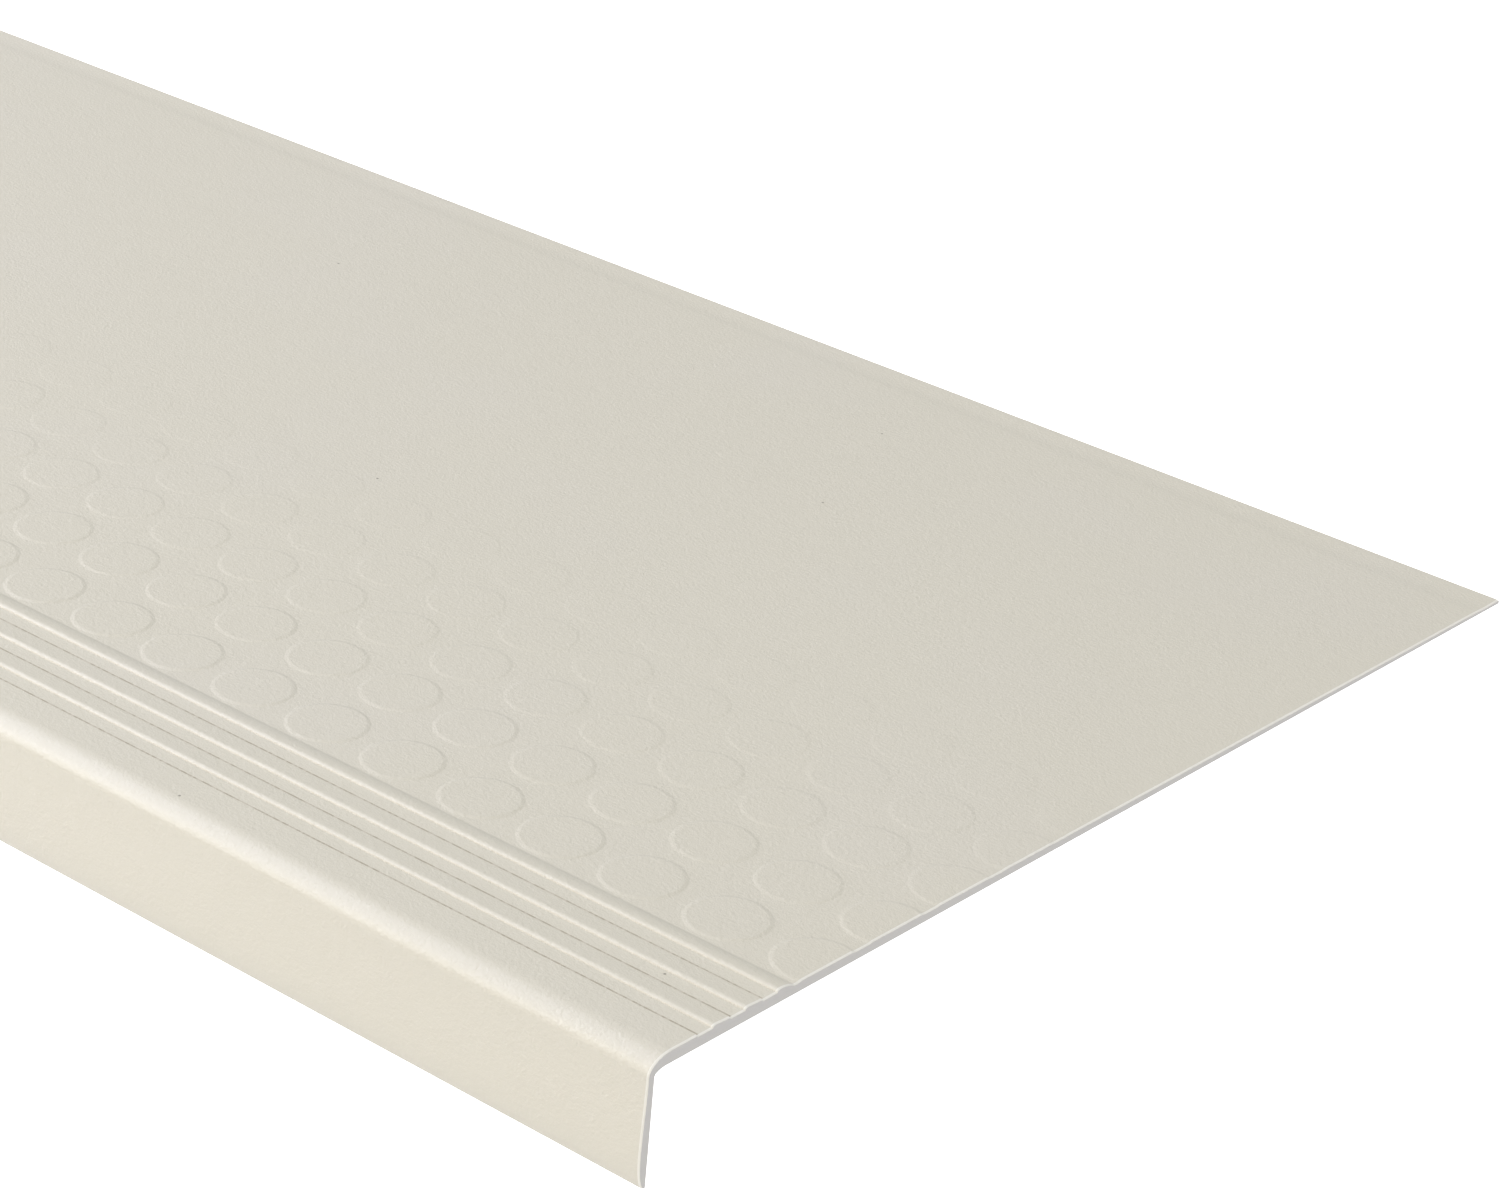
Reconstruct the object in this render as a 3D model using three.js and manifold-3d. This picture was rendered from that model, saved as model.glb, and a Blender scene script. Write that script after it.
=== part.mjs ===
// Anti-slip stair tread mat: one moulded vinyl sheet that lies on a step and hangs over its front edge.
// It has a rounded nose with a lip below it, low ribs behind the nose, and rows of low round studs
// behind the ribs. The rest of the sheet is plain and thins out towards its back edge.
//
// Millimetres. X runs along the step, Y towards the back of the step and Z up.
// The origin is the middle of the flat underside, which is the face that is glued to the step.

import * as THREE from 'three';
import { mergeGeometries, mergeVertices } from 'three/addons/utils/BufferGeometryUtils.js';
import Module from 'manifold-3d';

const wasm = await Module();
wasm.setup();

// The whole mat
const matLength = 914.4;
const matDepth = 311.15;

// The lip, which hangs down in front of the step: straight inside, with a slight belly outside
const lipDrop = 28.6;
const lipThickness = 1.9;
const lipBelly = 0.5;
const lipTipRoundHeight = 7.3;
const lipTipFlat = 0.5;

// The bend between the lip and the sheet, longer than it is high both outside and inside
const noseRoundDepth = 6.3;
const noseRoundHeight = 3.7;
const innerFilletDepth = 3.2;
const innerFilletHeight = 1.1;

// How thick the sheet is above its flat underside
const noseThickness = 3;
const studFieldThickness = 2.3;
const backThickness = 1.1;
const backEdgeRound = 0.5;

// The ribs, which run the whole length: grooves sunk into the sheet leave them standing
const ribCount = 3;
const noseBandWidth = 13.7;
const grooveWidth = 4.3;
const grooveDepth = 0.25;
const grooveWallDraft = 0.15;
const ribWidth = 5.3;
const ribFrontRound = 1.1;
const ribCrestRise = 0.3;
const lastRibWidth = 2.6;
const rampWidth = 1.9;

// The studs: low round discs in a square pattern
const studRows = 5;
const studDiameter = 19;
const studPitch = 22.225;
const studHeight = 0.3;
const studEdgeDraft = 1;
const studGapToRamp = 1.5;
const studColumnInset = 3;
const studSides = 12;

// Cutting and joining: spare length that is cut off, how deep a stud's root sinks into the sheet,
// and how far a point may lie off a straight edge or flat face and still be dropped from it
const trimAllowance = 15;
const studRoot = 0.3;
const cleanupTolerance = 0.001;

// How many straight steps an arc is drawn with
const longArcSteps = 10;
const smallArcSteps = 5;

const lipTip = noseThickness - lipDrop;
const noseRoundBottom = noseThickness - noseRoundHeight;
const grooveFloor = noseThickness - grooveDepth;
const ribCrest = noseThickness + ribCrestRise;
const ribPitch = grooveWidth + ribWidth;
const lastRibStart = noseBandWidth + grooveWidth + (ribCount - 1) * ribPitch;
const rampStart = lastRibStart + lastRibWidth;
const rampFoot = rampStart + rampWidth;
const fieldSlope = (studFieldThickness - backThickness) / (matDepth - rampFoot);
const undersideMiddle = (lipThickness + matDepth) / 2;

// An arc as a list of points; the angles are in degrees, and it runs clockwise when they fall
function arc(centreY, centreZ, radiusY, radiusZ, fromAngle, toAngle, steps) {
  const start = THREE.MathUtils.degToRad(fromAngle);
  const end = THREE.MathUtils.degToRad(toAngle);
  const curve = new THREE.EllipseCurve(centreY, centreZ, radiusY, radiusZ, start, end, toAngle < fromAngle);
  return curve.getPoints(steps);
}

// Thickness of the plain sheet behind the ramp, which falls evenly to the back edge
function fieldLevel(y) {
  return studFieldThickness - fieldSlope * (y - rampFoot);
}

// From the flat underside round the inside corner and down the lip to its tip
function insideOfLip() {
  const filletEnd = lipThickness + innerFilletDepth;
  return [
    ...arc(filletEnd, -innerFilletHeight, innerFilletDepth, innerFilletHeight, 90, 180, smallArcSteps),
    new THREE.Vector2(lipThickness, lipTip),
  ];
}

// From the lip's tip round its outer side to the belly, and up to the start of the nose
function outsideOfLip() {
  const tipRoundCentre = lipThickness - lipTipFlat;
  const tipRoundDepth = tipRoundCentre + lipBelly;
  const bellyHeight = lipTip + lipTipRoundHeight;
  const middle = (bellyHeight + noseRoundBottom) / 2;
  const upperFace = new THREE.CubicBezierCurve(
    new THREE.Vector2(-lipBelly, bellyHeight),
    new THREE.Vector2(-lipBelly, middle),
    new THREE.Vector2(0, middle),
    new THREE.Vector2(0, noseRoundBottom),
  );
  return [
    ...arc(tipRoundCentre, bellyHeight, tipRoundDepth, lipTipRoundHeight, 270, 180, longArcSteps),
    ...upperFace.getPoints(smallArcSteps).slice(1, -1),
  ];
}

// The rounded nose, from the top of the lip to the flat band
function nose() {
  return arc(noseRoundDepth, noseRoundBottom, noseRoundDepth, noseRoundHeight, 180, 90, longArcSteps);
}

// One groove and the rib behind it: a steep wall down from y, the floor, the rib's rounded front,
// and its top, which falls gently back to the level that it started from
function grooveAndRib(y, width) {
  const ribStart = y + grooveWidth;
  const rise = ribCrest - grooveFloor;
  return [
    new THREE.Vector2(y + grooveWallDraft, grooveFloor),
    ...arc(ribStart + ribFrontRound, grooveFloor, ribFrontRound, rise, 180, 90, smallArcSteps),
    new THREE.Vector2(ribStart + width, noseThickness),
  ];
}

// The flat band's back edge, then all grooves and ribs, up to where the last rib starts to fall away
function ribbedBand() {
  const points = [new THREE.Vector2(noseBandWidth, noseThickness)];
  for (let k = 0; k < ribCount; k += 1) {
    const width = k === ribCount - 1 ? lastRibWidth : ribWidth;
    points.push(...grooveAndRib(noseBandWidth + k * ribPitch, width));
  }
  return points;
}

// The soft ramp from the last rib down to the stud field, and the top of the sheet to its back edge
function rampAndField() {
  const middle = (rampStart + rampFoot) / 2;
  const ramp = new THREE.CubicBezierCurve(
    new THREE.Vector2(rampStart, noseThickness),
    new THREE.Vector2(middle, noseThickness),
    new THREE.Vector2(middle, studFieldThickness),
    new THREE.Vector2(rampFoot, studFieldThickness),
  );
  const roundCentreY = matDepth - backEdgeRound;
  const roundCentreZ = fieldLevel(roundCentreY) - backEdgeRound;
  return [
    ...ramp.getPoints(smallArcSteps).slice(1),
    ...arc(roundCentreY, roundCentreZ, backEdgeRound, backEdgeRound, 90, 0, smallArcSteps),
    new THREE.Vector2(matDepth, 0),
  ];
}

// The mat's section in the Y-Z plane, drawn from the inside corner round to the back edge
function matSection() {
  return new THREE.Shape([
    ...insideOfLip(),
    ...outsideOfLip(),
    ...nose(),
    ...ribbedBand(),
    ...rampAndField(),
  ]);
}

// The sheet with its ribs: the section run along X, with spare length at both ends
function ribbedSheet() {
  const runLength = matLength + 2 * trimAllowance;
  const geometry = new THREE.ExtrudeGeometry(matSection(), { depth: runLength, bevelEnabled: false });
  geometry.translate(0, 0, -runLength / 2);
  const sectionToRow = new THREE.Matrix4().makeBasis(
    new THREE.Vector3(0, 1, 0),
    new THREE.Vector3(0, 0, 1),
    new THREE.Vector3(1, 0, 0),
  );
  return geometry.applyMatrix4(sectionToRow);
}

// One stud, standing on the origin, with a root that sinks into the sheet
function stud() {
  const radius = studDiameter / 2;
  const draftPerMillimetre = studEdgeDraft / studHeight;
  const topRadius = radius - studEdgeDraft;
  const rootRadius = radius + studRoot * draftPerMillimetre;
  const geometry = new THREE.CylinderGeometry(topRadius, rootRadius, studHeight + studRoot, studSides);
  geometry.rotateX(Math.PI / 2);
  geometry.translate(0, 0, (studHeight - studRoot) / 2);
  return geometry;
}

// The rows of studs, counted back from the ramp, and the columns, counted from the right-hand end.
// Columns that only partly fit are kept: they are cut through with the end of the mat.
function studField() {
  const radius = studDiameter / 2;
  const firstColumn = Math.ceil(-(studColumnInset + radius) / studPitch);
  const lastColumn = Math.floor((matLength - studColumnInset + radius) / studPitch);
  const lean = new THREE.Matrix4().makeRotationX(-Math.atan(fieldSlope));
  const studs = [];
  for (let row = 0; row < studRows; row += 1) {
    const y = rampFoot + studGapToRamp + radius + row * studPitch;
    for (let column = firstColumn; column <= lastColumn; column += 1) {
      const x = matLength / 2 - studColumnInset - column * studPitch;
      const place = new THREE.Matrix4().makeTranslation(x, y, fieldLevel(y));
      studs.push(stud().applyMatrix4(place.multiply(lean)));
    }
  }
  return mergeGeometries(studs);
}

// The block that keeps what lies between the two cut ends
function trimBlock() {
  return new THREE.BoxGeometry(matLength, 3 * matDepth, 3 * lipDrop);
}

// A closed three.js geometry as a solid that can be joined and cut
function toSolid(geometry) {
  geometry.deleteAttribute('normal');
  geometry.deleteAttribute('uv');
  const merged = mergeVertices(geometry);
  const vertProperties = new Float32Array(merged.attributes.position.array);
  const triVerts = new Uint32Array(merged.index.array);
  return new wasm.Manifold(new wasm.Mesh({ numProp: 3, vertProperties, triVerts }));
}

// A solid back as a three.js geometry
function toGeometry(solid) {
  const mesh = solid.getMesh();
  const geometry = new THREE.BufferGeometry();
  geometry.setAttribute('position', new THREE.BufferAttribute(mesh.vertProperties, 3));
  geometry.setIndex(new THREE.BufferAttribute(mesh.triVerts, 1));
  geometry.computeVertexNormals();
  return geometry;
}

const vinyl = new THREE.MeshStandardMaterial({ color: 0xdcd6c8, roughness: 0.55, metalness: 0 });

// The sheet with its studs, cut to length and without the spare points that cutting leaves
function mouldedTread() {
  const moulded = toSolid(ribbedSheet()).add(toSolid(studField()));
  const cutToLength = moulded.intersect(toSolid(trimBlock()));
  return toGeometry(cutToLength.asOriginal().simplify(cleanupTolerance));
}

const stairTread = new THREE.Mesh(mouldedTread(), vinyl);
stairTread.name = 'stair_tread';
stairTread.position.y = -undersideMiddle;

const mat = new THREE.Group();
mat.add(stairTread);

export default mat;
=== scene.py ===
"""Anti-slip stair tread mat: a moulded vinyl sheet with nose, lip, ribs and studs, on a stage."""

import math

import bmesh
import bpy
from mathutils import Matrix, Vector


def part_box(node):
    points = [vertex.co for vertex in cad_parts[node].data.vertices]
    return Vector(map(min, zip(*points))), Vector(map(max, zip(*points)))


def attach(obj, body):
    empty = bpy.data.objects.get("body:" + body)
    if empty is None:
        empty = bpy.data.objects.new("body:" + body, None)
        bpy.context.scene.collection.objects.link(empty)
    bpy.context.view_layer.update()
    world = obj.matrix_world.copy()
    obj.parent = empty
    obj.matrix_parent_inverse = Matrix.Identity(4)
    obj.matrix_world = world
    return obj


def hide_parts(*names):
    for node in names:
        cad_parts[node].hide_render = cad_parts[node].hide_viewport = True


bl_info = {
    "name": "Stair tread mat",
    "version": (1, 0, 0),
    "blender": (4, 5, 0),
    "location": "View3D > Sidebar > Stair tread",
    "description": "Builds a ribbed and studded stair tread mat with its finish, stage and camera",
    "category": "Add Mesh",
}

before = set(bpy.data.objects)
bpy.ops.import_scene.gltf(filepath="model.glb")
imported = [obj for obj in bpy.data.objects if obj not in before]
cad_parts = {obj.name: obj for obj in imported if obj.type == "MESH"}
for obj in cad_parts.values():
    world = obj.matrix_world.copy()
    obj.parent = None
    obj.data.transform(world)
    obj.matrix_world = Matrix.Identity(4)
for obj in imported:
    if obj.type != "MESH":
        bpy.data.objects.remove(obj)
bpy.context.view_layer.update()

NODE = "stair_tread"
MM = 0.001
# Points closer than this are one point
WELD = 0.001 * MM
# Steps in the long curves of the nose and lip, in each rib's small ones and in half a soft step
NOSE_SEGMENTS = 20
RIB_SEGMENTS = 8
STEP_SEGMENTS = 5
# A stud's rounded rim from its top down to its foot: how far in from the foot each point lies, as a
# share of the rim's width, and how high, as a share of the stud's height
STUD_RIM = ((1.0, 1.0), (0.7, 0.88), (0.25, 0.24), (0.0, 0.0))
# Edges that turn more than this are drawn sharp
SHARP_ANGLE = math.radians(50)
# Places in the tread's list of materials; the first is the moulded skin, on all other faces
CUT_SLOT = 1
# The third holds painted shade in the grooves' creases
CREASE_SHADE_SLOT = 2
# The fourth holds a painted highlight on the cut ends' bevels
EDGE_HIGHLIGHT_SLOT = 3

VINYL_IOR = 1.53
# Cells to the metre of each pattern: clouds 90 mm across, waves 70 mm long, grain of 0.9 mm,
# painted crease shade in dots of 1.1 mm, specks 150 mm apart, and drag lines 17 mm long and 0.33 mm
# apart
CLOUD_SCALE = 11.0
WAVE_SCALE = 14.0
GRAIN_SCALE = 1100.0
CREASE_SHADE_SCALE = 900.0
SPECK_SCALE = 6.7
DRAG_SCALE = (1.0, 60.0, 3000.0)
# How far each pattern stands out between its lowest and its highest value
WAVE_HEIGHT = 0.25 * MM
GRAIN_HEIGHT = 0.185 * MM
DRAG_HEIGHT = 0.05 * MM
# A speck is full out to the first radius and gone at the second
SPECK_CORE = 0.2 * MM
SPECK_RIM = 0.4 * MM
# What the floor gives off to the camera alone, which lifts it to white from every side
PAPER_GLOW = 0.72

# The softboxes, all at one distance from the tread's middle: where each stands round it (azimuth
# and elevation in degrees), its side in metres, its watts and its colour
LAMP_DISTANCE = 2.6
LAMPS = (
    ("high_left_softbox", (-75.0, 50.0), 2.2, 28.0, "#ECEFFF"),
    ("left_softbox", (-85.0, 35.0), 2.6, 28.0, "#ECEEFF"),
    ("front_left_softbox", (-45.0, 30.0), 1.6, 26.0, "#FFFDFA"),
    ("front_softbox", (-8.0, 22.0), 1.8, 16.0, "#FFF6EA"),
    ("right_softbox", (85.0, 18.0), 2.2, 16.4, "#FFFFFB"),
    ("back_right_softbox", (150.0, 33.0), 0.8, 6.8, "#FFFFFF"),
)
# The light that comes from all round
WORLD_COLOUR = (0.97, 0.98, 0.89, 1.0)
WORLD_STRENGTH = 0.328


class TreadSizes(bpy.types.PropertyGroup):
    """The section of the sheet, from the lip's tip over the nose and ribs to the back edge"""

    lip_drop: bpy.props.FloatProperty(
        name="Lip drop",
        description="Top of the nose to the tip of the lip",
        default=28.6 * MM,
        unit="LENGTH",
    )
    lip_thickness: bpy.props.FloatProperty(
        name="Lip thickness",
        description="Thickness of the lip below the nose",
        default=1.9 * MM,
        unit="LENGTH",
    )
    lip_belly: bpy.props.FloatProperty(
        name="Lip belly",
        description="How far the lip swells out in front of the nose",
        default=0.5 * MM,
        unit="LENGTH",
    )
    tip_round_height: bpy.props.FloatProperty(
        name="Tip round height",
        description="Height of the rounding at the tip",
        default=7.3 * MM,
        unit="LENGTH",
    )
    tip_flat: bpy.props.FloatProperty(
        name="Tip flat", description="Width left at the tip", default=0.5 * MM, unit="LENGTH"
    )
    nose_round_depth: bpy.props.FloatProperty(
        name="Nose round depth",
        description="Depth of the bend's outer rounding",
        default=6.3 * MM,
        unit="LENGTH",
    )
    nose_round_height: bpy.props.FloatProperty(
        name="Nose round height",
        description="Height of the bend's outer rounding",
        default=3.7 * MM,
        unit="LENGTH",
    )
    fillet_depth: bpy.props.FloatProperty(
        name="Fillet depth",
        description="Depth of the rounding inside the bend",
        default=3.2 * MM,
        unit="LENGTH",
    )
    fillet_height: bpy.props.FloatProperty(
        name="Fillet height",
        description="Height of the rounding inside the bend",
        default=1.1 * MM,
        unit="LENGTH",
    )
    nose_thickness: bpy.props.FloatProperty(
        name="Nose thickness",
        description="Thickness of the sheet at the nose",
        default=3.0 * MM,
        unit="LENGTH",
    )
    field_thickness: bpy.props.FloatProperty(
        name="Field thickness",
        description="Thickness right behind the ribs",
        default=2.3 * MM,
        unit="LENGTH",
    )
    back_thickness: bpy.props.FloatProperty(
        name="Back thickness",
        description="Thickness at the back edge",
        default=1.1 * MM,
        unit="LENGTH",
    )
    back_dip_width: bpy.props.FloatProperty(
        name="Back dip width",
        description="Width of the shallow dip along the back edge",
        default=12.0 * MM,
        unit="LENGTH",
    )
    back_dip_depth: bpy.props.FloatProperty(
        name="Back dip depth",
        description="Depth of the shallow dip along the back edge",
        default=0.14 * MM,
        unit="LENGTH",
    )
    back_round: bpy.props.FloatProperty(
        name="Back edge rounding",
        description="Radius on top of the back edge",
        default=0.5 * MM,
        unit="LENGTH",
    )
    drawn_width: bpy.props.FloatProperty(
        name="Drawn edge width",
        description="Length of the bevel round each cut end",
        default=0.5 * MM,
        unit="LENGTH",
    )
    drawn_drop: bpy.props.FloatProperty(
        name="Drawn edge drop",
        description="How far that bevel falls inward",
        default=0.18 * MM,
        unit="LENGTH",
    )


class RibSizes(bpy.types.PropertyGroup):
    """The grooves and ribs that run along the nose"""

    count: bpy.props.IntProperty(
        name="Ribs", description="Number of ribs behind the nose", default=3, min=1
    )
    band: bpy.props.FloatProperty(
        name="Nose band",
        description="Nose front to the first groove",
        default=13.7 * MM,
        unit="LENGTH",
    )
    groove_width: bpy.props.FloatProperty(
        name="Groove width", description="Width of each groove", default=4.3 * MM, unit="LENGTH"
    )
    groove_depth: bpy.props.FloatProperty(
        name="Groove depth",
        description="Depth of each groove below the band",
        default=0.25 * MM,
        unit="LENGTH",
    )
    wall_draft: bpy.props.FloatProperty(
        name="Wall draft",
        description="How far the groove's steep wall leans",
        default=0.15 * MM,
        unit="LENGTH",
    )
    # Painted shade covers the crease over this width
    crease_width: bpy.props.FloatProperty(
        name="Crease width",
        description="Width of the grimed crease from the wall on",
        default=0.75 * MM,
        unit="LENGTH",
    )
    crease_depth: bpy.props.FloatProperty(
        name="Crease depth",
        description="Depth of the crease below the groove",
        default=0.04 * MM,
        unit="LENGTH",
    )
    width: bpy.props.FloatProperty(
        name="Rib width", description="Width of each rib", default=5.3 * MM, unit="LENGTH"
    )
    front_round: bpy.props.FloatProperty(
        name="Rib front rounding",
        description="Depth of each rib's rounded front",
        default=1.1 * MM,
        unit="LENGTH",
    )
    crest: bpy.props.FloatProperty(
        name="Crest rise",
        description="Height of a rib's crest above the nose band",
        default=0.3 * MM,
        unit="LENGTH",
    )
    ramp: bpy.props.FloatProperty(
        name="Ramp width",
        description="Width of the last rib's curved fall",
        default=4.3 * MM,
        unit="LENGTH",
    )


class StudSizes(bpy.types.PropertyGroup):
    """The round studs and the square pattern that they stand in"""

    rows: bpy.props.IntProperty(
        name="Rows", description="Rows of studs behind the ribs", default=5, min=1
    )
    pitch: bpy.props.FloatProperty(
        name="Pitch",
        description="Distance between stud centres both ways",
        default=22.225 * MM,
        unit="LENGTH",
    )
    diameter: bpy.props.FloatProperty(
        name="Diameter",
        description="Diameter of a stud at its foot",
        default=19.0 * MM,
        unit="LENGTH",
    )
    height: bpy.props.FloatProperty(
        name="Height",
        description="Height of a stud in the front row",
        default=0.22 * MM,
        unit="LENGTH",
    )
    back_height: bpy.props.FloatProperty(
        name="Back height",
        description="Height of a stud in the back row",
        default=0.06 * MM,
        unit="LENGTH",
    )
    edge_round: bpy.props.FloatProperty(
        name="Edge rounding",
        description="Width of the rounded rim of a stud",
        default=1.3 * MM,
        unit="LENGTH",
    )
    gap: bpy.props.FloatProperty(
        name="Gap",
        description="Last rib's foot to the first studs",
        default=0.6 * MM,
        unit="LENGTH",
    )
    inset: bpy.props.FloatProperty(
        name="Column inset",
        description="First column's centre inside the right end",
        default=3.0 * MM,
        unit="LENGTH",
    )
    segments: bpy.props.IntProperty(
        name="Segments", description="Sides of a stud", default=24, min=8
    )


class FinishColours(bpy.types.PropertyGroup):
    """Colours as sRGB hex values"""

    vinyl: bpy.props.StringProperty(
        name="Vinyl", description="Main colour of the sheet", default="#DFDACD"
    )
    vinyl_cool: bpy.props.StringProperty(
        name="Cool drift", description="Cooler clouds in the vinyl", default="#DFDACE"
    )
    cut_face: bpy.props.StringProperty(
        name="Cut face", description="Vinyl where it was cut", default="#D8D5D6"
    )
    # A painted highlight on the bevel round each cut end
    edge_highlight: bpy.props.StringProperty(
        name="Drawn edge", description="Skin at the cut's edge", default="#F2EFE8"
    )
    # Painted shade in the grooves' creases, in a darker and a lighter tone
    crease_shade: bpy.props.StringProperty(
        name="Grime", description="Dirt in the creases", default="#B3AA99"
    )
    crease_shade_light: bpy.props.StringProperty(
        name="Light grime", description="Thin dirt", default="#CDC6B8"
    )
    speck: bpy.props.StringProperty(
        name="Speck", description="Dark specks in the surface", default="#6E675A"
    )
    floor: bpy.props.StringProperty(
        name="Floor", description="Studio floor and backdrop", default="#F4F4F4"
    )


class StageSizes(bpy.types.PropertyGroup):
    """Camera, lamps and floor"""

    azimuth: bpy.props.FloatProperty(
        name="Camera azimuth",
        description="Turn of the camera round Z",
        default=math.radians(37.4),
        subtype="ANGLE",
    )
    elevation: bpy.props.FloatProperty(
        name="Camera elevation",
        description="Height angle of the camera",
        default=math.radians(25.06),
        subtype="ANGLE",
    )
    roll: bpy.props.FloatProperty(
        name="Camera roll",
        description="Turn of the camera round its view",
        default=math.radians(5.3),
        subtype="ANGLE",
    )
    offset: bpy.props.FloatVectorProperty(
        name="Camera place",
        description="Camera from the near top corner of the tread",
        default=(403.3 * MM, -510.3 * MM, 400.2 * MM),
        subtype="TRANSLATION",
        unit="LENGTH",
    )
    lens: bpy.props.FloatProperty(
        name="Lens", description="Focal length in millimetres on a 36 mm sensor", default=98.7
    )
    floor_drop: bpy.props.FloatProperty(
        name="Floor drop", description="Floor below the tip of the lip", default=0.4, unit="LENGTH"
    )
    floor_size: bpy.props.FloatProperty(
        name="Floor size", description="Length of the floor's sides", default=30.0, unit="LENGTH"
    )


def linear(hex_colour):
    """Turns an sRGB hex value into the linear colour that a shader takes."""
    channels = [int(hex_colour[k : k + 2], 16) / 255 for k in (1, 3, 5)]
    light = [c / 12.92 if c <= 0.04045 else ((c + 0.055) / 1.055) ** 2.4 for c in channels]
    return (*light, 1.0)


def add_node(tree, kind, settings=None, inputs=None, links=None):
    """Adds a node with its settings, its socket values and its incoming links."""
    node = tree.nodes.new(kind)
    for name, value in (settings or {}).items():
        setattr(node, name, value)
    for socket, value in (inputs or {}).items():
        node.inputs[socket].default_value = value
    for socket, source in (links or {}).items():
        tree.links.new(source, node.inputs[socket])
    return node


def new_material(name):
    """A new material without any nodes, and its node tree."""
    material = bpy.data.materials.new(name)
    material.use_nodes = True
    material.node_tree.nodes.clear()
    return material, material.node_tree


def moulded_vinyl(colours):
    """Calendered and embossed PVC: an even cream whose fine grain breaks up its satin sheen."""
    material, tree = new_material("moulded_vinyl")
    place = add_node(tree, "ShaderNodeTexCoord").outputs["Object"]

    # Pigment drifts in wide clouds, too weak to see as spots
    clouds = add_node(
        tree,
        "ShaderNodeTexNoise",
        inputs={"Scale": CLOUD_SCALE, "Detail": 2.0},
        links={"Vector": place},
    )
    drift = add_node(tree, "ShaderNodeValToRGB", links={"Fac": clouds.outputs["Fac"]})
    drift.color_ramp.elements[0].position = 0.35
    drift.color_ramp.elements[0].color = linear(colours.vinyl_cool)
    drift.color_ramp.elements[1].position = 0.5
    drift.color_ramp.elements[1].color = linear(colours.vinyl)

    # Matt grain of the mould
    grain = add_node(
        tree,
        "ShaderNodeTexNoise",
        inputs={"Scale": GRAIN_SCALE, "Detail": 3.0, "Roughness": 0.65},
        links={"Vector": place},
    )
    # Soft waves, from the sheet lying not quite flat
    waves = add_node(
        tree,
        "ShaderNodeTexNoise",
        inputs={"Scale": WAVE_SCALE, "Detail": 0.0},
        links={"Vector": place},
    )
    wavy = add_node(
        tree,
        "ShaderNodeBump",
        inputs={"Strength": 1.0, "Distance": WAVE_HEIGHT},
        links={"Height": waves.outputs["Fac"]},
    )
    grained = add_node(
        tree,
        "ShaderNodeBump",
        inputs={"Strength": 1.0, "Distance": GRAIN_HEIGHT},
        links={"Height": grain.outputs["Fac"], "Normal": wavy.outputs["Normal"]},
    )
    # The grain's hollows are a little glossier than its tops
    gloss = add_node(
        tree,
        "ShaderNodeMapRange",
        inputs={"From Min": 0.3, "From Max": 0.7, "To Min": 0.35, "To Max": 0.47},
        links={"Value": grain.outputs["Fac"]},
    )
    # A few dark specks of dirt
    cells = add_node(
        tree,
        "ShaderNodeTexVoronoi",
        {"voronoi_dimensions": "2D"},
        {"Scale": SPECK_SCALE},
        {"Vector": place},
    )
    inside = add_node(
        tree,
        "ShaderNodeMapRange",
        inputs={
            "From Min": SPECK_RIM * SPECK_SCALE,
            "From Max": SPECK_CORE * SPECK_SCALE,
            "To Min": 0.0,
            "To Max": 0.7,
        },
        links={"Value": cells.outputs["Distance"]},
    )
    specked = add_node(
        tree,
        "ShaderNodeMixRGB",
        inputs={"Color2": linear(colours.speck)},
        links={"Fac": inside.outputs["Result"], "Color1": drift.outputs["Color"]},
    )
    # The rollers leave a thin smooth glaze over the grain, which follows the waves alone
    skin = add_node(
        tree,
        "ShaderNodeBsdfPrincipled",
        inputs={"IOR": VINYL_IOR, "Coat Weight": 0.3, "Coat Roughness": 0.2, "Coat IOR": 1.5},
        links={
            "Base Color": specked.outputs["Color"],
            "Roughness": gloss.outputs["Result"],
            "Normal": grained.outputs["Normal"],
            "Coat Normal": wavy.outputs["Normal"],
        },
    )
    add_node(tree, "ShaderNodeOutputMaterial", links={"Surface": skin.outputs["BSDF"]})
    return material


def knife_cut_vinyl(colours):
    """PVC cut with a knife: a raw inside, duller and greyer than the skin, with fine drag lines."""
    material, tree = new_material("knife_cut_vinyl")
    place = add_node(tree, "ShaderNodeTexCoord").outputs["Object"]
    # Drag lines of the blade, which run along the sheet
    drawn_out = add_node(
        tree, "ShaderNodeMapping", inputs={"Scale": DRAG_SCALE}, links={"Vector": place}
    )
    drag = add_node(
        tree,
        "ShaderNodeTexNoise",
        inputs={"Scale": 1.0, "Detail": 2.0},
        links={"Vector": drawn_out.outputs["Vector"]},
    )
    bump = add_node(
        tree,
        "ShaderNodeBump",
        inputs={"Strength": 0.4, "Distance": DRAG_HEIGHT},
        links={"Height": drag.outputs["Fac"]},
    )
    raw = add_node(
        tree,
        "ShaderNodeBsdfPrincipled",
        inputs={"Base Color": linear(colours.cut_face), "Roughness": 0.75, "IOR": VINYL_IOR},
        links={"Normal": bump.outputs["Normal"]},
    )
    add_node(tree, "ShaderNodeOutputMaterial", links={"Surface": raw.outputs["BSDF"]})
    return material


def edge_highlight_finish(colours):
    """Painted highlight on the bevel round each cut end: a pale skin, a little duller than the rest.
    """
    material, tree = new_material("edge_highlight_finish")
    pale = add_node(
        tree,
        "ShaderNodeBsdfPrincipled",
        inputs={"Base Color": linear(colours.edge_highlight), "Roughness": 0.6, "IOR": VINYL_IOR},
    )
    add_node(tree, "ShaderNodeOutputMaterial", links={"Surface": pale.outputs["BSDF"]})
    return material


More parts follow.
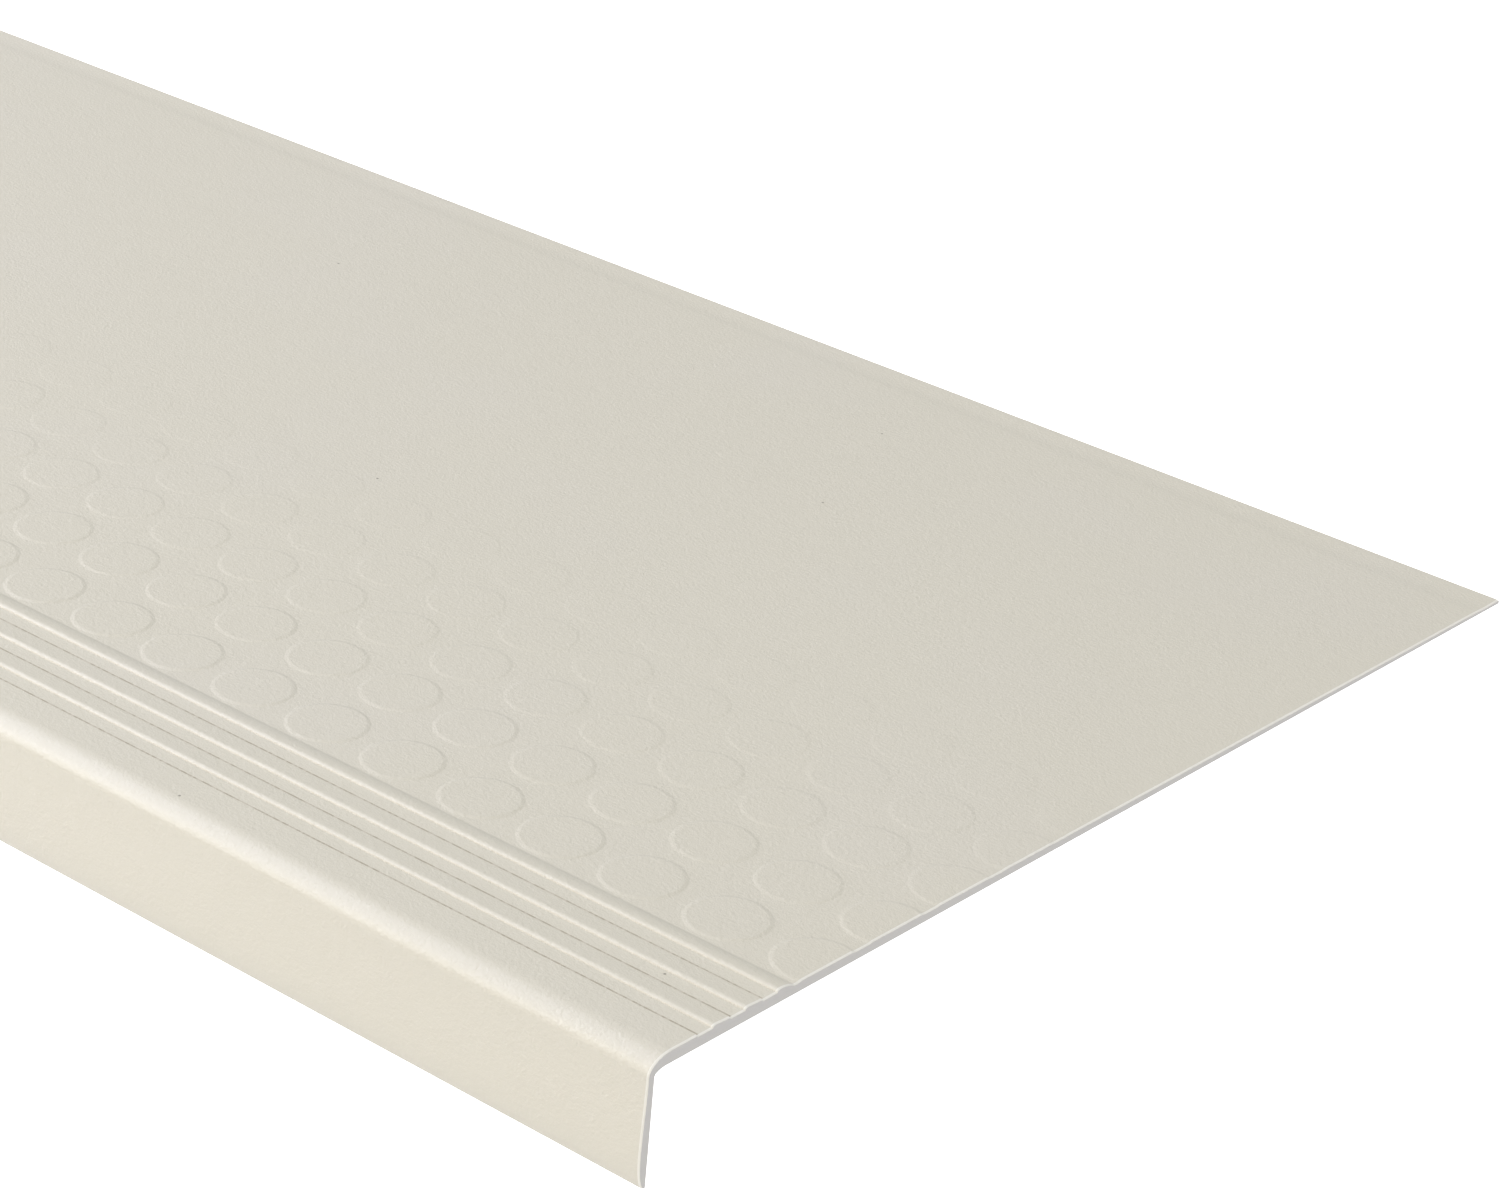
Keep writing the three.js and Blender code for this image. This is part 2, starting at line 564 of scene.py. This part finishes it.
def crease_shade_finish(colours):
    """The narrow crease at each groove's front, with painted shade in a broken brown line."""
    material, tree = new_material("crease_shade_finish")
    place = add_node(tree, "ShaderNodeTexCoord").outputs["Object"]
    # Painted shade in dots and dashes along the crease
    dots = add_node(
        tree,
        "ShaderNodeTexNoise",
        inputs={"Scale": CREASE_SHADE_SCALE, "Detail": 2.0},
        links={"Vector": place},
    )
    painted_shade = add_node(tree, "ShaderNodeValToRGB", links={"Fac": dots.outputs["Fac"]})
    painted_shade.color_ramp.elements[0].position = 0.42
    painted_shade.color_ramp.elements[0].color = linear(colours.crease_shade)
    painted_shade.color_ramp.elements[1].position = 0.62
    painted_shade.color_ramp.elements[1].color = linear(colours.crease_shade_light)
    crease = add_node(
        tree,
        "ShaderNodeBsdfPrincipled",
        inputs={"Roughness": 0.8, "IOR": VINYL_IOR},
        links={"Base Color": painted_shade.outputs["Color"]},
    )
    add_node(tree, "ShaderNodeOutputMaterial", links={"Surface": crease.outputs["BSDF"]})
    return material


def studio_paper(colours):
    """Matt seamless paper, which glows to the camera alone, so the tread gets no light of it."""
    material, tree = new_material("studio_paper")
    paper = add_node(tree, "ShaderNodeBsdfDiffuse", inputs={"Color": linear(colours.floor)})
    seen = add_node(tree, "ShaderNodeLightPath").outputs["Is Camera Ray"]
    lift = add_node(tree, "ShaderNodeMath", {"operation": "MULTIPLY"}, {1: PAPER_GLOW}, {0: seen})
    glow = add_node(
        tree,
        "ShaderNodeEmission",
        inputs={"Color": (1.0, 1.0, 1.0, 1.0)},
        links={"Strength": lift.outputs[0]},
    )
    both = add_node(tree, "ShaderNodeAddShader", links={0: paper.outputs[0], 1: glow.outputs[0]})
    add_node(tree, "ShaderNodeOutputMaterial", links={"Surface": both.outputs[0]})
    return material


def draw_arc(bm, centre, radii, start, sweep, steps):
    """Spins one point into an arc in the Y-Z plane, and stretches it to its radii.

    Returns its points in order. Angles are in degrees from +Y towards +Z."""
    angle, turn = math.radians(start), math.radians(sweep)
    run = [bm.verts.new((0.0, math.cos(angle), math.sin(angle)))]
    bmesh.ops.spin(bm, geom=run, cent=(0, 0, 0), axis=(1, 0, 0), angle=turn, steps=steps)
    for _ in range(steps):
        neighbours = [edge.other_vert(run[-1]) for edge in run[-1].link_edges]
        run.append(next(vert for vert in neighbours if vert not in run))
    bmesh.ops.scale(bm, vec=(1.0, *radii), verts=run)
    bmesh.ops.translate(bm, vec=(0.0, *centre), verts=run)
    return run


def draw_point(bm, y, z):
    """One corner of the section."""
    return [bm.verts.new((0.0, y, z))]


def draw_soft_step(bm, start, length, rise, turn):
    """Two equal arcs that leave a point and end level with it again, a step to the side further on.

    They run towards +Y and then turn with the whole step by the given angle in degrees."""
    bend = 2 * math.atan(abs(rise) / length)
    radius = length / (2 * math.sin(bend))
    radii = (radius, radius)
    side = math.copysign(1.0, rise)
    sweep = math.degrees(bend) * side
    end_centre = (length, rise - side * radius)
    first = draw_arc(bm, (0.0, side * radius), radii, -90 * side, sweep, STEP_SEGMENTS)
    second = draw_arc(bm, end_centre, radii, 90 * side + sweep, -sweep, STEP_SEGMENTS)
    rotation = Matrix.Rotation(math.radians(turn), 3, "X")
    bmesh.ops.rotate(bm, verts=first + second, cent=(0, 0, 0), matrix=rotation)
    bmesh.ops.translate(bm, vec=(0.0, *start), verts=first + second)
    return [first, second]


def rib_runs(bm, tread, ribs):
    """The grooves and ribs behind the nose band, and the last rib's curved fall to the studs."""
    floor = tread.nose_thickness - ribs.groove_depth
    rib_front = (ribs.front_round, ribs.groove_depth + ribs.crest)
    runs = []
    for k in range(ribs.count):
        y = ribs.band + k * (ribs.groove_width + ribs.width)
        crest_y = y + ribs.groove_width + ribs.front_round
        runs.append(draw_point(bm, y, tread.nose_thickness))
        runs.append(draw_point(bm, y + ribs.wall_draft, floor - ribs.crease_depth))
        runs.append(draw_point(bm, y + ribs.crease_width, floor))
        runs.append(draw_arc(bm, (crest_y, floor), rib_front, 180, -90, RIB_SEGMENTS))
    crest = tread.nose_thickness + ribs.crest
    bend = 2 * math.atan((crest - tread.field_thickness) / ribs.ramp)
    radius = ribs.ramp / math.sin(bend)
    radii = (radius, radius)
    fall = draw_arc(bm, (crest_y, crest - radius), radii, 90, -math.degrees(bend), RIB_SEGMENTS)
    # The last rib's front already ends on the crest
    bmesh.ops.delete(bm, geom=[fall[0]], context="VERTS")
    return [*runs, fall[1:]]


def lip_runs(bm, tread):
    """The bend inside, the lip with its tip and belly, and the rounded nose."""
    tip = tread.nose_thickness - tread.lip_drop
    tip_centre = tread.lip_thickness - tread.tip_flat
    belly_height = tip + tread.tip_round_height
    belly_start = (-tread.lip_belly, belly_height)
    nose_bottom = tread.nose_thickness - tread.nose_round_height
    fillet_centre = (tread.lip_thickness + tread.fillet_depth, -tread.fillet_height)
    fillet = (tread.fillet_depth, tread.fillet_height)
    tip_round = (tip_centre + tread.lip_belly, tread.tip_round_height)
    nose_round = (tread.nose_round_depth, tread.nose_round_height)
    return [
        draw_arc(bm, fillet_centre, fillet, 90, 90, RIB_SEGMENTS),
        draw_point(bm, tread.lip_thickness, tip),
        draw_arc(bm, (tip_centre, belly_height), tip_round, 270, -90, NOSE_SEGMENTS),
        *draw_soft_step(bm, belly_start, nose_bottom - belly_height, -tread.lip_belly, 90),
        draw_arc(bm, (tread.nose_round_depth, nose_bottom), nose_round, 180, -90, NOSE_SEGMENTS),
    ]


def add_section(bm, tread, ribs, field, depth):
    """Draws the section at the left end and runs it to the right end.

    It is open along the stud field. What comes back is its two corners there, the one behind the
    studs and then the one at the last rib's foot, each as its left and right point."""
    edge_y = depth - tread.back_round
    back_centre = (edge_y, field.level(edge_y) - tread.back_round)
    back_edge = (tread.back_round, tread.back_round)
    half_dip = tread.back_dip_width / 2
    middle_y = edge_y - half_dip
    dip_y = edge_y - tread.back_dip_width
    bottom = field.level(middle_y) - tread.back_dip_depth
    runs = [
        *draw_soft_step(bm, (dip_y, field.level(dip_y)), half_dip, bottom - field.level(dip_y), 0),
        *draw_soft_step(bm, (middle_y, bottom), half_dip, field.level(edge_y) - bottom, 0),
        draw_arc(bm, back_centre, back_edge, 90, -90, RIB_SEGMENTS),
        draw_point(bm, depth, 0.0),
        *lip_runs(bm, tread),
        *rib_runs(bm, tread, ribs),
    ]
    for run, following in zip(runs, runs[1:]):
        bm.edges.new((run[-1], following[0]))
    verts = [v for run in runs for v in run]
    corners = [runs[0][0], runs[-1][-1]]
    bmesh.ops.translate(bm, vec=(-field.cut, 0.0, 0.0), verts=verts)
    edges = list(dict.fromkeys(e for v in verts for e in v.link_edges))
    swept = bmesh.ops.extrude_edge_only(bm, edges=edges)["geom"]
    moved = [item for item in swept if isinstance(item, bmesh.types.BMVert)]
    pairs = [(v, min(moved, key=lambda m: (m.co - v.co).length)) for v in corners]
    bmesh.ops.translate(bm, vec=(2 * field.cut, 0.0, 0.0), verts=moved)
    bmesh.ops.remove_doubles(bm, verts=verts + moved, dist=WELD)
    return pairs


def add_stud_cell(bm, studs):
    """One stud in a square of sheet: its profile is spun round, filled on top and squared off."""
    foot = studs.diameter / 2
    half = studs.pitch / 2
    rim_points = [(foot - studs.edge_round * inward, studs.height * up) for inward, up in STUD_RIM]
    verts = [bm.verts.new((radius, 0.0, height)) for radius, height in (*rim_points, (half, 0.0))]
    edges = [bm.edges.new(pair) for pair in zip(verts, verts[1:])]
    bmesh.ops.spin(
        bm,
        geom=verts + edges,
        cent=(0, 0, 0),
        axis=(0, 0, 1),
        angle=math.tau,
        steps=studs.segments,
        use_merge=True,
    )
    rim = [e for e in bm.edges if e.is_boundary and e.verts[0].co.xy.length < foot]
    bmesh.ops.contextual_create(bm, geom=rim)
    for vert in bm.verts:
        if vert.co.xy.length > half - WELD:
            vert.co.xy *= half / max(abs(vert.co.x), abs(vert.co.y))


def repeat_along(bm, step, count):
    """Copies everything so that it stands a number of times in a line, a step apart."""
    whole = bm.verts[:] + bm.edges[:] + bm.faces[:]
    for k in range(1, count):
        copy = bmesh.ops.duplicate(bm, geom=whole)["geom"]
        verts = [item for item in copy if isinstance(item, bmesh.types.BMVert)]
        bmesh.ops.translate(bm, vec=Vector(step) * k, verts=verts)


class StudField:
    """All studs and the sheet between them, cut off at both ends and laid on the falling top"""

    def __init__(self, bm, tread, ribs, studs, length, depth):
        self.cut = length / 2 - tread.drawn_width
        last_rib = ribs.band + ribs.count * ribs.groove_width + (ribs.count - 1) * ribs.width
        self.foot = last_rib + ribs.front_round + ribs.ramp
        self.thickness = tread.field_thickness
        self.slope = (tread.field_thickness - tread.back_thickness) / (depth - self.foot)

        add_stud_cell(bm, studs)
        # Columns from one that lies beyond the right end to one that reaches past the left end
        columns = math.ceil((length - studs.inset) / studs.pitch + 0.5) + 1
        repeat_along(bm, (-studs.pitch, 0.0, 0.0), columns)
        repeat_along(bm, (0.0, studs.pitch, 0.0), studs.rows)
        bmesh.ops.remove_doubles(bm, verts=bm.verts, dist=WELD)
        first_x = length / 2 - studs.inset + studs.pitch
        first_y = self.foot + studs.gap + studs.diameter / 2
        bmesh.ops.translate(bm, vec=(first_x, first_y, 0.0), verts=bm.verts)
        # The studs get lower from row to row towards the back, and the sheet in front of them starts
        # half a gap behind the last rib's foot
        front = self.foot + studs.gap / 2
        lowest = studs.back_height / studs.height
        last_row = max(studs.rows - 1, 1)
        for vert in bm.verts:
            row = round((vert.co.y - first_y) / studs.pitch)
            vert.co.z *= 1 + (lowest - 1) * row / last_row
            vert.co.y = max(vert.co.y, front)
        back = max(v.co.y for v in bm.verts)
        for side in (-1, 1):
            bmesh.ops.bisect_plane(
                bm,
                geom=bm.verts[:] + bm.edges[:] + bm.faces[:],
                dist=WELD,
                plane_co=(side * self.cut, 0.0, 0.0),
                plane_no=(side, 0.0, 0.0),
                clear_outer=True,
            )
        front_row = [v for v in bm.verts if v.co.y < front + WELD]
        back_row = [v for v in bm.verts if v.co.y > back - WELD]
        self.front_row = sorted(front_row, key=lambda v: v.co.x)
        self.back_row = sorted(back_row, key=lambda v: v.co.x)
        lay = Matrix.Identity(4)
        lay[2][1] = -self.slope
        lay[2][3] = self.level(0.0)
        bmesh.ops.transform(bm, matrix=lay, verts=bm.verts)

    def level(self, y):
        """Thickness of the sheet behind the ribs, which falls evenly to the back edge."""
        return self.thickness - self.slope * (y - self.foot)


def cut_end(bm, side, cut, width, drop):
    """Closes one end with a flat knife cut, and bevels the skin in towards it all round."""
    end = side * cut
    rim = [e for e in bm.edges if e.is_boundary and all(abs(v.co.x - end) < WELD for v in e.verts)]
    cap = bmesh.ops.contextual_create(bm, geom=rim)["faces"][0]
    cap.material_index = CUT_SLOT
    ring = bmesh.ops.inset_region(
        bm, faces=[cap], thickness=drop, use_boundary=True, use_even_offset=True
    )["faces"]
    bmesh.ops.translate(bm, vec=(side * width, 0.0, 0.0), verts=cap.verts)
    # Paler colour on the bevel: a painted highlight
    for face in ring:
        face.material_index = EDGE_HIGHLIGHT_SLOT


def mark_creases(bm, ribs):
    """Gives the crease at each groove's front the material with painted shade."""
    for k in range(ribs.count):
        start = ribs.band + k * (ribs.groove_width + ribs.width)
        for face in bm.faces:
            if start < face.calc_center_median().y < start + ribs.crease_width:
                # These faces carry painted shade
                face.material_index = CREASE_SHADE_SLOT


def tread_mesh(scene):
    """The whole sheet as one closed mesh in the frame's own place."""
    tread, ribs, studs = scene.tread_sizes, scene.tread_ribs, scene.tread_studs
    low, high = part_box(NODE)
    length = high.x - low.x
    depth = high.y - low.y - tread.lip_belly

    bm = bmesh.new()
    field = StudField(bm, tread, ribs, studs, length, depth)
    back, rib_foot = add_section(bm, tread, ribs, field, depth)
    mark_creases(bm, ribs)
    # The stud field is joined to the section in front and behind
    bm.faces.new([*field.front_row, rib_foot[1], rib_foot[0]])
    bm.faces.new([*field.back_row, back[1], back[0]])
    for side in (-1, 1):
        cut_end(bm, side, field.cut, tread.drawn_width, tread.drawn_drop)
    bmesh.ops.recalc_face_normals(bm, faces=bm.faces)
    bmesh.ops.translate(bm, vec=(0.0, low.y + tread.lip_belly, 0.0), verts=bm.verts)
    for face in bm.faces:
        face.smooth = True

    mesh = bpy.data.meshes.new("moulded_tread")
    bm.to_mesh(mesh)
    bm.free()
    mesh.set_sharp_from_angle(angle=SHARP_ANGLE)
    return mesh


class TREAD_OT_build(bpy.types.Operator):
    """Builds the moulded sheet with its ribs, studs and finish"""

    bl_idname = "tread.build"
    bl_label = "Build tread"

    def execute(self, context):
        mesh = tread_mesh(context.scene)
        colours = context.scene.tread_colours
        for finish in (moulded_vinyl, knife_cut_vinyl, crease_shade_finish, edge_highlight_finish):
            mesh.materials.append(finish(colours))
        tread = bpy.data.objects.new("moulded_tread", mesh)
        context.scene.collection.objects.link(tread)
        weighted = tread.modifiers.new("flat faces stay flat", "WEIGHTED_NORMAL")
        weighted.keep_sharp = True
        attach(tread, "root")
        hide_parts(NODE)
        return {"FINISHED"}


def add_floor(stage, colours, low):
    """A large matt floor below the tread."""
    bm = bmesh.new()
    bmesh.ops.create_grid(bm, x_segments=1, y_segments=1, size=stage.floor_size / 2)
    bmesh.ops.translate(bm, vec=(0.0, 0.0, low.z - stage.floor_drop), verts=bm.verts)
    mesh = bpy.data.meshes.new("studio_floor")
    bm.to_mesh(mesh)
    bm.free()
    mesh.materials.append(studio_paper(colours))
    floor = bpy.data.objects.new("studio_floor", mesh)
    bpy.context.scene.collection.objects.link(floor)


def add_softbox(name, azimuth, elevation, size, power, colour):
    """A square area lamp that stands at an angle round the tread's middle and faces it."""
    data = bpy.data.lights.new(name, "AREA")
    data.shape = "SQUARE"
    data.size = size
    data.energy = power
    data.color = linear(colour)[:3]
    lamp = bpy.data.objects.new(name, data)
    turn, rise = math.radians(azimuth), math.radians(elevation)
    level = math.cos(rise)
    away = Vector((math.sin(turn) * level, -math.cos(turn) * level, math.sin(rise)))
    lamp.location = away * LAMP_DISTANCE
    lamp.rotation_euler = away.to_track_quat("Z", "Y").to_euler()
    bpy.context.scene.collection.objects.link(lamp)


def add_world():
    """Even light from all round, and plain white to the camera behind the tread."""
    world = bpy.data.worlds.new("studio_world")
    world.use_nodes = True
    tree = world.node_tree
    tree.nodes.clear()
    seen = add_node(tree, "ShaderNodeLightPath").outputs["Is Camera Ray"]
    room = add_node(
        tree, "ShaderNodeBackground", inputs={"Color": WORLD_COLOUR, "Strength": WORLD_STRENGTH}
    )
    white = add_node(
        tree, "ShaderNodeBackground", inputs={"Color": (1.0, 1.0, 1.0, 1.0), "Strength": 1.0}
    )
    choice = add_node(
        tree, "ShaderNodeMixShader", links={0: seen, 1: room.outputs[0], 2: white.outputs[0]}
    )
    add_node(tree, "ShaderNodeOutputWorld", links={"Surface": choice.outputs[0]})
    bpy.context.scene.world = world


def add_camera(stage, corner):
    """The camera, placed from the tread's near top corner and turned by three plain angles."""
    data = bpy.data.cameras.new("studio_camera")
    data.lens = stage.lens
    camera = bpy.data.objects.new("studio_camera", data)
    camera.location = corner + Vector(stage.offset)
    turn = Matrix.Rotation(stage.azimuth, 3, "Z")
    tilt = Matrix.Rotation(math.pi / 2 - stage.elevation, 3, "X")
    roll = Matrix.Rotation(stage.roll, 3, "Z")
    camera.rotation_euler = (turn @ tilt @ roll).to_euler()
    bpy.context.scene.collection.objects.link(camera)
    bpy.context.scene.camera = camera


class TREAD_OT_stage(bpy.types.Operator):
    """Adds the camera, the lamps, the white room and the floor"""

    bl_idname = "tread.stage"
    bl_label = "Build stage"

    def execute(self, context):
        scene = context.scene
        low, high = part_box(NODE)
        top = scene.tread_sizes.nose_thickness
        corner = Vector((high.x, low.y + scene.tread_sizes.lip_belly, top))
        add_camera(scene.tread_stage, corner)
        add_floor(scene.tread_stage, scene.tread_colours, low)
        add_world()
        for name, (azimuth, elevation), size, power, colour in LAMPS:
            add_softbox(name, azimuth, elevation, size, power, colour)
        scene.view_settings.view_transform = "Standard"
        return {"FINISHED"}


class TREAD_PT_panel(bpy.types.Panel):
    """Lists the steps in the 3D view's sidebar"""

    bl_label = "Stair tread"
    bl_idname = "TREAD_PT_panel"
    bl_space_type = "VIEW_3D"
    bl_region_type = "UI"
    bl_category = "Stair tread"

    def draw(self, context):
        for step in OPERATORS:
            self.layout.operator(step.bl_idname)


GROUPS = {
    "tread_sizes": TreadSizes,
    "tread_ribs": RibSizes,
    "tread_studs": StudSizes,
    "tread_colours": FinishColours,
    "tread_stage": StageSizes,
}
OPERATORS = (TREAD_OT_build, TREAD_OT_stage)


def register():
    for name, group in GROUPS.items():
        bpy.utils.register_class(group)
        setattr(bpy.types.Scene, name, bpy.props.PointerProperty(type=group))
    for cls in (*OPERATORS, TREAD_PT_panel):
        bpy.utils.register_class(cls)


def unregister():
    for cls in (TREAD_PT_panel, *OPERATORS):
        bpy.utils.unregister_class(cls)
    for name, group in GROUPS.items():
        delattr(bpy.types.Scene, name)
        bpy.utils.unregister_class(group)


def main():
    """Builds the tread and its stage."""
    register()
    bpy.ops.tread.build()
    bpy.ops.tread.stage()


if __name__ == "__main__":
    main()
